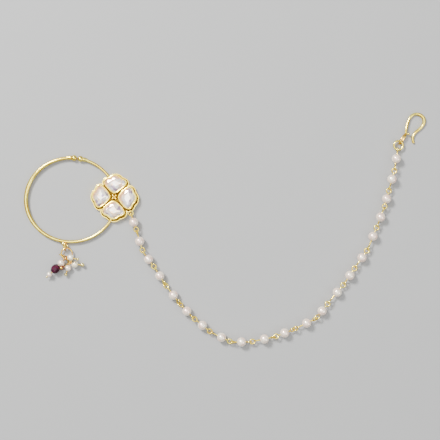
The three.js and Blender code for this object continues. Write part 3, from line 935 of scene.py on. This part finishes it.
FINISH_MAKERS = {
    "gold": polished_gold,
    "recess": recess_gold_painted_shade,
    "loop": loop_gold,
    "tip": tip_gold_painted_highlight,
    "pearl": pearl_finish,
    "cream_pearl": cream_pearl,
    "crown": clear_crown,
    "foil": stone_foil,
    "ruby": ruby_glass,
    "garnet": garnet_glass,
    "floor": floor_finish,
}


# Hoop


def hoop_point(degrees):
    s = sizes("hoop")
    a = math.radians(degrees)
    return Vector((s.width / 2 * math.cos(a), s.height / 2 * math.sin(a), s.ball / 2))


def hoop_tangent(degrees):
    s = sizes("hoop")
    a = math.radians(degrees)
    return Vector((-s.width * math.sin(a), s.height * math.cos(a), 0)).normalized()


def hoop_radius(degrees):
    s = sizes("hoop")
    share = ((1 - math.cos(math.radians(degrees))) / 2) ** 2
    return (s.thin + (s.thick - s.thin) * share) / 2


def finial(form, degrees, towards):
    """A ball and the cone behind it."""
    s = sizes("hoop")
    r = s.ball / 2
    neck = s.collar / 2
    profile = [(hoop_radius(degrees) * girth, -r - s.ferrule - past) for girth, past in CONE_FOOT]
    profile += [(neck * girth, -r - s.ferrule * along) for girth, along in CONE]
    profile.append((neck * COLLAR_EDGE[0], -r - COLLAR_EDGE[1]))
    profile += [(neck * girth, -r * along) for girth, along in THROAT]
    narrow = profile[-1][0]
    for i in range(1, FINIAL_ROWS - 1):
        a = math.pi * i / FINIAL_ROWS
        if r * math.sin(a) > narrow or a > math.pi / 2:
            profile.append((r * math.sin(a), -r * math.cos(a)))
    spin = UP.rotation_difference(towards).to_matrix()
    form.turned(profile, hoop_point(degrees), 40, spin)


class NATH_OT_hoop(bpy.types.Operator):
    """Build the tapered hoop wire with its two ball ends"""

    bl_idname = "nath.hoop"
    bl_label = "Hoop"

    def execute(self, context):
        s = sizes("hoop")
        a = s.group.opening
        speed = math.radians(1) * math.hypot(s.width / 2 * math.sin(a), s.height / 2 * math.cos(a))
        half = (s.ball + s.gap) / 2 / speed
        left = math.degrees(a) + half
        right = math.degrees(a) - half
        form = Form()
        for start, end, count in ((left, WIRE_ENDS[0], 260), (WIRE_ENDS[1], right, 70)):
            angles = [start + (end - start) * i / (count - 1) for i in range(count)]
            form.wire([hoop_point(v) for v in angles], [hoop_radius(v) for v in angles], 24)
        finial(form, left, -hoop_tangent(left))
        finial(form, right, hoop_tangent(right))
        form.piece("hoop_wire", ["gold"], [SETTING])
        return {"FINISHED"}


# Flower


def petal_outline(count=160):
    """One petal's outline, along +X from the flower's middle, anticlockwise."""
    s = sizes("flower")
    half = [Vector((PETAL_START + a * s.petal_length, -b * s.petal_width / 2, 0)) for a, b in PETAL_HALF]
    rest = [Vector((p.x, -p.y, 0)) for p in reversed(half[1:-1])]
    fine = [spline(half + rest, i / 600, True) for i in range(600)]
    return even(fine, count, True)[0]


def petal_ring(outline, inset, z):
    """The outline moved inwards. Each point walks in towards the petal's middle until it is far enough in."""
    array = np.array([(p.x, p.y) for p in outline])
    following = np.roll(array, -1, axis=0)
    if inset <= 0:
        tangent = following - np.roll(array, 1, axis=0)
        tangent /= np.linalg.norm(tangent, axis=1)[:, None]
        moved = array + np.stack([tangent[:, 1], -tangent[:, 0]], axis=1) * -inset
        return [Vector((x, y, z)) for x, y in moved]
    near, far = PETAL_MIDDLE
    middle = np.array([array[:, 0].min() * near + array[:, 0].max() * far, 0])
    low = np.zeros(len(array))
    high = np.ones(len(array))
    edge = following - array
    for _ in range(18):
        share = (low + high) / 2
        point = array + (middle - array) * share[:, None]
        offset = point[:, None, :] - array[None, :, :]
        along = np.clip((offset * edge[None]).sum(2) / (edge**2).sum(1)[None], 0, 1)
        gap = np.linalg.norm(offset - along[..., None] * edge[None], axis=2).min(axis=1)
        low = np.where(gap < inset, share, low)
        high = np.where(gap < inset, high, share)
    point = array + (middle - array) * high[:, None]
    return [Vector((x, y, z)) for x, y in point]


def petal_turn(i):
    return math.degrees(sizes("flower").group.turned) + i * 360 / PETAL_COUNT


def turned_ring(ring, degrees, centre):
    spin = Matrix.Rotation(math.radians(degrees), 3, "Z")
    return [spin @ p + centre for p in ring]


def clover(outset, count=320):
    """The outline of the four petals run together, seen from the flower's middle."""
    base = petal_ring(petal_outline(), -outset, 0)
    petals = [turned_ring(base, petal_turn(i), Vector()) for i in range(PETAL_COUNT)]
    segments = []
    for ring in petals:
        segments += list(zip(ring, ring[1:] + ring[:1]))
    start = np.array([(p.x, p.y) for p, _ in segments])
    edge = np.array([(q.x - p.x, q.y - p.y) for p, q in segments])
    reach = []
    for i in range(count):
        a = 2 * math.pi * i / count
        ray = np.array((math.cos(a), math.sin(a)))
        cross = ray[0] * edge[:, 1] - ray[1] * edge[:, 0]
        cross = np.where(abs(cross) < 1e-9, 1e-9, cross)
        far = (start[:, 0] * edge[:, 1] - start[:, 1] * edge[:, 0]) / cross
        along = (start[:, 0] * ray[1] - start[:, 1] * ray[0]) / cross
        hits = far[(along >= 0) & (along <= 1) & (far > 0)]
        reach.append(hits.max())
    return [(2 * math.pi * i / count, r) for i, r in enumerate(reach)]


class NATH_OT_plate(bpy.types.Operator):
    """Build the flower's base plate with its raised rim"""

    bl_idname = "nath.plate"
    bl_label = "Flower plate"

    def execute(self, context):
        s = sizes("flower")
        centre = plate_centre()
        outer = clover(s.margin)
        inner = clover(s.margin - RIM_WALL)

        middle = [(a, (r + q) / 2) for (a, r), (_, q) in zip(outer, inner)]
        top = s.rim
        # The edge in section: each row's outline, how far in from it, and the height
        section = (
            (outer, 0.12, 0),
            (outer, 0.03, 0.04),
            (outer, 0, 0.15),
            (outer, 0, top - 0.09),
            (outer, 0.02, top - 0.03),
            (outer, 0.07, top),
            (middle, 0, top),
            (inner, -0.03, top - 0.02),
            (inner, 0, top - 0.1),
            (inner, 0.02, PLATE_THICKNESS + 0.1),
            (inner, 0.12, PLATE_THICKNESS),
        )
        form = Form()
        form.skin([[centre + polar(r - inset, a, z) for a, r in line] for line, inset, z in section])
        # The rim's inner wall, rows 7 to 9 of the skin, and the floor inside it, the last face, take the dark
        # gold with painted shade
        count = len(outer)
        for i in (*range(count * 7, count * 10), -1):
            form.finishes[i] = 1
        form.piece("flower_plate", ["gold", "recess"], [SETTING])
        return {"FINISHED"}


class NATH_OT_bezels(bpy.types.Operator):
    """Build the four petal bezels with their burnished lips"""

    bl_idname = "nath.bezels"
    bl_label = "Petal bezels"

    def execute(self, context):
        s = sizes("flower")
        outline = petal_outline()
        sections = [(0, PLATE_THICKNESS - PLATE_BITE)]
        sections += [(inset, s.lip - under) for inset, under in LIP]
        sections.append((CUP_WALL, CUP_FLOOR))
        rings = [petal_ring(outline, inset, z) for inset, z in sections]
        form = Form()
        for i in range(PETAL_COUNT):
            form.skin([turned_ring(ring, petal_turn(i), setting_centre()) for ring in rings])
            # The cup's floor under the stone, the last face, takes the dark gold with painted shade.
            form.finishes[-1] = 1
        form.piece("petal_bezels", ["gold", "recess"], [SETTING])
        return {"FINISHED"}


class NATH_OT_boss(bpy.types.Operator):
    """Build the small boss in the middle of the flower and the chain's eyelet"""

    bl_idname = "nath.boss"
    bl_label = "Boss and eyelet"

    def execute(self, context):
        s = sizes("flower")
        form = Form()
        lobe = s.boss / BOSS_PARTS
        foot = PLATE_THICKNESS - PLATE_BITE
        centre = setting_centre()
        for i in range(PETAL_COUNT):
            at = centre + flat(petal_turn(i + 0.5)) * (s.boss / 2 - lobe)
            profile = [(lobe * LOBE_FOOT, foot), (lobe, BOSS_TOP - lobe)]
            for step in range(1, 8):
                a = math.pi / 2 * step / 8
                profile.append((lobe * math.cos(a), BOSS_TOP - lobe + lobe * math.sin(a)))
            form.turned(profile, at, 24)
        profile = [(lobe * DOT_FOOT, foot)]
        profile += [(lobe * share, PLATE_THICKNESS + DOT_RISE - share * DOT_FALL) for share in DOT_ROWS]
        form.turned(profile, centre, 24)
        form.piece("flower_boss", ["gold"], [SETTING])
        eyelet = Form()
        eyelet.eye((EYELET_D, EYELET_D), sizes("chain").wire, flat(0), 0, eyelet_centre(), 56)
        eyelet.piece("chain_eyelet", ["gold"], [SETTING])
        return {"FINISHED"}


class NATH_OT_stones(bpy.types.Operator):
    """Build the four faceted stones with foil behind them"""

    bl_idname = "nath.stones"
    bl_label = "Stones"

    def execute(self, context):
        s = sizes("flower")
        outline = petal_outline(96)

        def ring(inset, z, count, start=0):
            full = petal_ring(outline, inset, z)
            return [full[int((k + start) / count * len(full))] for k in range(count)]

        girdle = ring(GIRDLE_INSET, GIRDLE_Z, 16)
        crown = ring(CROWN_INSET, GIRDLE_Z + s.crown * CROWN_SHARE, 8, 0.5)
        shoulder = ring(SHOULDER_INSET, GIRDLE_Z + s.crown * SHOULDER_SHARE, 8)
        belly = ring(BELLY_INSET, GIRDLE_Z - BELLY_DROP, 8, 0.5)
        keel = ring(KEEL_INSET, CUP_FLOOR + KEEL_LIFT, 8)
        table = ring(TABLE_INSET, GIRDLE_Z + s.crown, 8, 0.5)
        points = girdle + crown + shoulder + belly + keel + table
        # Where each ring of corners starts: girdle, crown, shoulder, belly, keel and table
        g, c, h, b, k, t = 0, 16, 24, 32, 40, 48
        top = [tuple(t + j for j in range(8))]
        under = [tuple(k + j for j in reversed(range(8)))]
        for j in range(8):
            n = (j + 1) % 8
            p = (j - 1) % 8
            even_g = g + 2 * j
            odd_g = even_g + 1
            next_g = g + (2 * j + 2) % 16
            top += [(h + j, c + j, h + n), (h + j, h + n, t + j), (h + n, t + n, t + j)]
            top += [(h + j, c + p, even_g), (h + j, even_g, c + j)]
            top += [(c + j, even_g, odd_g), (c + j, odd_g, next_g)]
            under += [(k + j, k + n, b + j)]
            under += [(k + j, even_g, b + p), (k + j, b + j, even_g)]
            under += [(b + j, odd_g, even_g), (b + j, next_g, odd_g)]
        for i, name in enumerate(STONES):
            form = Form()
            form.add(turned_ring(points, petal_turn(i), setting_centre()), top + under)
            form.finishes[len(top):] = [1] * len(under)
            form.piece(name + "_gem", ["crown", "foil"], [name], smooth=0)
        return {"FINISHED"}


# Chain


def eyelet_centre():
    s = sizes("flower")
    at = plate_centre() + flat(EYELET_ANGLE) * EYELET_REACH
    at.z = s.rim + sizes("chain").wire / 2 - EYELET_SINK
    return at


def joints():
    start = eyelet_centre()
    heights = [CHAIN_HEIGHTS.get(i, CHAIN_REST) for i in range(len(CHAIN_ROUTE))]
    return [Vector((start.x + x, start.y + y, z)) for (x, y), z in zip(CHAIN_ROUTE, heights)]


def links():
    """For each link: its number, the joint it starts from, the way to its end, and its row of the table."""
    route = joints()
    return [(f"{i + 1:02d}", route[i], route[i + 1] - route[i], row) for i, row in enumerate(LINKS)]


def eye_halves():
    """Half length and half width of an eye's middle line, and how far its centre lies from its joint."""
    s = sizes("chain")
    half = (s.eye_length - s.wire) / 2
    return half, (s.eye_width - s.wire) / 2, half - (s.wire + JOINT_PLAY) / 2


def bead_profile(diameter, bore, rows=26):
    """A drilled round bead's section with a softened mouth, as radius and height."""
    r = diameter / 2
    mouth = math.asin((bore + BORE_MOUTH) / r)
    profile = [(bore, -r * math.cos(mouth) + BORE_SOFTENED)]
    for i in range(rows + 1):
        a = mouth + (math.pi - 2 * mouth) * i / rows
        profile.append((r * math.sin(a), -r * math.cos(a)))
    profile.append((bore, r * math.cos(mouth) - BORE_SOFTENED))
    return profile


def drilled_bead(node, diameter, bore, at, direction, finish):
    """A round bead on its wire, with its finish's name for a slot."""
    form = Form()
    spin = UP.rotation_difference(direction.normalized()).to_matrix()
    form.turned(bead_profile(diameter, bore), at, 48, spin, closed=True)
    form.piece(node + "_bead", [finish], [node])


class NATH_OT_pearls(bpy.types.Operator):
    """Build the support chain's drilled pearls"""

    bl_idname = "nath.pearls"
    bl_label = "Pearls"

    def execute(self, context):
        s = sizes("chain")
        bore = s.wire / 2 + s.bore
        for number, joint, span, (slide, _, _) in links():
            at = joint + span / 2 + span.normalized() * slide
            drilled_bead("pearl_" + number, s.pearl, bore, at, span, "pearl")
        return {"FINISHED"}


def turned_eye(half, width, centre, side, roll):
    """The wire of one eye from its free end round to the shaft, on the pin's own X axis."""
    path = []
    for i in range(EYE_POINTS):
        a = math.radians(EYE_START + (EYE_END - EYE_START) * i / (EYE_POINTS - 1))
        path.append(Vector((-side * half * math.cos(a) + centre, side * width * math.sin(a), 0)))
    for past, off in NECK:
        path.append(Vector((-side * (half + past) + centre, -side * off, 0)))
    spin = Matrix.Rotation(math.radians(roll), 3, "X")
    return [spin @ p for p in path]


class NATH_OT_pins(bpy.types.Operator):
    """Build the chain's eye pins, each of one wire with an eye turned at both ends"""

    bl_idname = "nath.pins"
    bl_label = "Eye pins"

    def execute(self, context):
        s = sizes("chain")
        half, width, slack = eye_halves()
        for number, joint, span, (_, roll_in, roll_out) in links():
            reach = span.length / 2 - slack
            first = turned_eye(half, width, -reach, -1, roll_in)
            last = turned_eye(half, width, reach, 1, roll_out)
            path = even(curve(first + last[::-1], 400), 130)[0]
            spin = level_turn(span)
            at = joint + span / 2
            form = Form()
            form.wire([spin @ p + at for p in path], s.wire / 2, 12)
            form.piece(f"eye_pin_{number}_wire", ["gold"], ["eye_pin_" + number], WIRE_SMOOTH)
        return {"FINISHED"}


def ring_radius(s):
    """Radius of the end ring or the charm ring at the middle of its wire."""
    return (s.ring - s.ring_wire) / 2


def flat_ring(node, s, centre, sides, finish):
    """The end ring or the charm ring, lying on the table."""
    form = Form()
    path = [p + centre for p in oval(ring_radius(s), ring_radius(s), 96)]
    form.wire(path, s.ring_wire / 2, sides, True)
    form.piece(node + "_wire", [finish], [node], WIRE_SMOOTH)


class NATH_OT_hook(bpy.types.Operator):
    """Build the end ring and the hair hook"""

    bl_idname = "nath.hook"
    bl_label = "End ring and hook"

    def execute(self, context):
        s = sizes("chain")
        route = joints()
        away = route[-1] - route[-2]
        away.z = 0
        centre = route[-1] + away.normalized() * (ring_radius(s) + RING_SHIFT - eye_halves()[2])
        flat_ring("end_ring", s, centre, 18, "gold")

        direction = flat(HOOK_TURN)
        reach = (HOOK_EYE[0] - s.hook_eye_wire) / 2
        hold = (s.ring_wire + s.hook_eye_wire) / 2 + HOOK_PLAY
        at = centre + direction * (ring_radius(s) - hold + reach)
        neck = at + direction * reach
        r = s.hook_wire / 2
        form = Form()
        form.eye(HOOK_EYE, s.hook_eye_wire, direction, HOOK_EYE_ROLL, at, 80, finish=1)
        points = []
        for across, along, lift, girth in HOOK_ROUTE:
            z = r * girth + lift * (neck.z - r)
            points.append(Vector((neck.x + across * s.hook_width, neck.y + along * s.hook_length, z)))
        path, shares = even(curve(points, 600), 150)
        girths = [row[3] for row in HOOK_ROUTE]
        radii = [r * float(np.interp(u * (len(girths) - 1), range(len(girths)), girths)) for u in shares]
        form.wire(path, radii, 20)
        ball_at = neck + Vector((HOOK_BALL_REACH, 0, 0))
        form.ball(HOOK_BALL_D, ball_at, 24)
        form.wire([neck, ball_at], s.hook_eye_wire * HOOK_STEM, 12)
        form.piece("hair_hook_wire", ["gold", "loop"], ["hair_hook"], WIRE_SMOOTH)
        return {"FINISHED"}


# Charms


def bail_centre():
    reach = hoop_radius(BAIL_ANGLE) + (BAIL_LENGTH - BAIL_WIRE) / 2 - BAIL_SINK
    at = hoop_point(BAIL_ANGLE) + flat(BAIL_TURN) * reach
    at.z = JUMP_Z
    return at


def jump_centre():
    s = sizes("charms")
    half = (BAIL_LENGTH - BAIL_WIRE) / 2
    hold = bail_centre() + flat(BAIL_TURN) * (half - (BAIL_WIRE + s.ring_wire) / 2 - BAIL_PLAY)
    return hold + flat(JUMP_TURN) * ring_radius(s)


class NATH_OT_charm_ring(bpy.types.Operator):
    """Build the bail under the hoop and the charm ring"""

    bl_idname = "nath.charm_ring"
    bl_label = "Bail and charm ring"

    def execute(self, context):
        s = sizes("charms")
        form = Form()
        form.eye((BAIL_LENGTH, BAIL_WIDTH), BAIL_WIRE, flat(BAIL_TURN), BAIL_ROLL, bail_centre(), 64)
        top = hoop_point(BAIL_ANGLE)
        for x, y, diameter in GRAINS:
            at = top + Vector((x, y, 0))
            form.ball(diameter, at, 32, finish=1)
            form.wire([top, at], BAIL_WIRE / 2, 12)
        form.piece("charm_bail", ["loop", "tip"], [SETTING], WIRE_SMOOTH)
        flat_ring("charm_ring", s, jump_centre(), 16, "loop")
        return {"FINISHED"}


def cut_bead(form, diameter, long, bore, at, direction):
    """A faceted bead: two belts of flats round a broad middle."""
    r = diameter / 2
    h = long / 2
    rows = [(bore, -h)] + [(r * girth, h * along) for girth, along in BEAD_CUT] + [(bore, h)]
    spin = UP.rotation_difference(direction.normalized()).to_matrix()
    rings = []
    for i, (radius, height) in enumerate(rows):
        lag = 0.5 if i in (2, 3) else 0
        angles = [2 * math.pi * (j + lag) / BEAD_SIDES for j in range(BEAD_SIDES)]
        rings.append([spin @ polar(radius, a, height) + at for a in angles])
    form.skin(rings, True)


def on_route(points, i, centre):
    """Where a dangle's wire passes point i of its route, and which way it runs there."""
    share = (i + 1) / (len(points) - 1)
    heading = spline(points, min(1, share + ROUTE_STEP)) - spline(points, share - ROUTE_STEP)
    return spline(points, share) + centre, heading


class NATH_OT_dangles(bpy.types.Operator):
    """Build the dangles on the charm ring"""

    bl_idname = "nath.dangles"
    bl_label = "Dangles"

    def execute(self, context):
        s = sizes("charms")
        centre = jump_centre()
        eye_r = (s.eye - s.pin_wire) / 2
        bore = s.pin_wire / 2 + CHARM_BORE_PLAY
        for name, dangle in DANGLES.items():
            angle, turned = dangle["eye"]
            direction = flat(turned)
            square = abs(math.cos(math.radians(turned - angle)))
            slant = math.sqrt(1 - square * square)
            hold = (s.pin_wire * (square + slant) + s.ring_wire) / 2 / square + CHARM_PLAY
            eye_centre = flat(angle) * ring_radius(s) + direction * (eye_r - hold)
            points = [eye_centre + direction * eye_r] + [Vector(p) for p in dangle["route"]]

            form = Form()
            form.eye((s.eye, s.eye), s.pin_wire, direction, 90, eye_centre + centre, 44, 14)
            path = [p + centre for p in curve(points, 200)]
            form.wire(even(path, 60)[0], s.pin_wire / 2, 14)
            form.ball(dangle["tip"], spline(points, 1) + centre, 28, finish=1)
            finishes = ["loop", dangle.get("tip_finish", "tip")]
            if "fused" in dangle:
                index, diameter, finish = dangle["fused"]
                finishes.append(finish)
                form.ball(diameter, on_route(points, index, centre)[0], 36, finish=2)
            form.piece(f"charm_pin_{name}_wire", finishes, ["charm_pin_" + name], WIRE_SMOOTH)
            if "pearl" in dangle:
                index, diameter, finish = dangle["pearl"]
                at, heading = on_route(points, index, centre)
                drilled_bead("charm_pearl_" + name, diameter, bore, at, heading, finish)
            if "ruby" in dangle:
                index, diameter, long = dangle["ruby"]
                form = Form()
                cut_bead(form, diameter, long, bore, *on_route(points, index, centre))
                form.piece("ruby_bead_glass", ["ruby"], ["ruby_bead"], smooth=0)
        return {"FINISHED"}


# Stage


class NATH_OT_stage(bpy.types.Operator):
    """Lay the floor and set the camera and the lights"""

    bl_idname = "nath.stage"
    bl_label = "Stage"

    def execute(self, context):
        scene = context.scene
        s = scene.nath_stage
        bpy.ops.mesh.primitive_plane_add(size=FLOOR_SIZE, location=(0, 0, 0))
        floor = context.active_object
        floor.name = "table_top"
        floor.data.materials.append(finish_of("floor"))

        middle = VIEW_MIDDLE + layout_shift()
        camera = bpy.data.objects.new("camera", bpy.data.cameras.new("camera"))
        camera.data.lens = s.lens
        camera.data.clip_start = VIEW_NEAREST
        camera.location = (middle.x * MM, middle.y * MM, s.distance)
        scene.collection.objects.link(camera)
        scene.camera = camera

        for name, power, size, place in LIGHTS:
            lamp = bpy.data.lights.new(name, "AREA")
            lamp.shape = "DISK"
            lamp.size = size
            lamp.energy = getattr(s, power)
            light = bpy.data.objects.new(name, lamp)
            light.location = place
            light.rotation_euler = (-Vector(place)).to_track_quat("-Z", "Y").to_euler()
            scene.collection.objects.link(light)

        world = bpy.data.worlds.new("room")
        room = Shading(world)
        background = room.tree.nodes["Background"]
        room.feed(background.inputs["Strength"], s.room)
        room.feed(background.inputs["Color"], room.ramp(room.axes()[2], *ROOM))
        scene.world = world
        return {"FINISHED"}


class NATH_PT_panel(bpy.types.Panel):
    """Sizes, colours and steps of the nath"""

    bl_label = "Nath nose ring"
    bl_idname = "NATH_PT_panel"
    bl_space_type = "VIEW_3D"
    bl_region_type = "UI"
    bl_category = "Nath"

    def draw(self, context):
        for group in GROUPS:
            box = self.layout.box()
            settings = getattr(context.scene, group)
            box.label(text=type(settings).__doc__)
            for key in settings.bl_rna.properties.keys():
                if key not in ("rna_type", "name"):
                    box.prop(settings, key)
        for operator in OPERATORS:
            self.layout.operator(operator.bl_idname)


GROUPS = {
    "nath_hoop": HoopSizes,
    "nath_flower": FlowerSizes,
    "nath_chain": ChainSizes,
    "nath_charms": CharmSizes,
    "nath_colours": FinishColours,
    "nath_stage": StageSettings,
}

OPERATORS = (
    NATH_OT_hoop,
    NATH_OT_plate,
    NATH_OT_bezels,
    NATH_OT_boss,
    NATH_OT_stones,
    NATH_OT_pearls,
    NATH_OT_pins,
    NATH_OT_hook,
    NATH_OT_charm_ring,
    NATH_OT_dangles,
    NATH_OT_stage,
)


CLASSES = (*GROUPS.values(), *OPERATORS, NATH_PT_panel)


def register():
    for cls in CLASSES:
        bpy.utils.register_class(cls)
    for name, group in GROUPS.items():
        setattr(bpy.types.Scene, name, PointerProperty(type=group))


def unregister():
    for name in GROUPS:
        delattr(bpy.types.Scene, name)
    for cls in reversed(CLASSES):
        bpy.utils.unregister_class(cls)


def main():
    register()
    for operator in OPERATORS:
        group, step = operator.bl_idname.split(".")
        getattr(getattr(bpy.ops, group), step)()


if __name__ == "__main__":
    main()
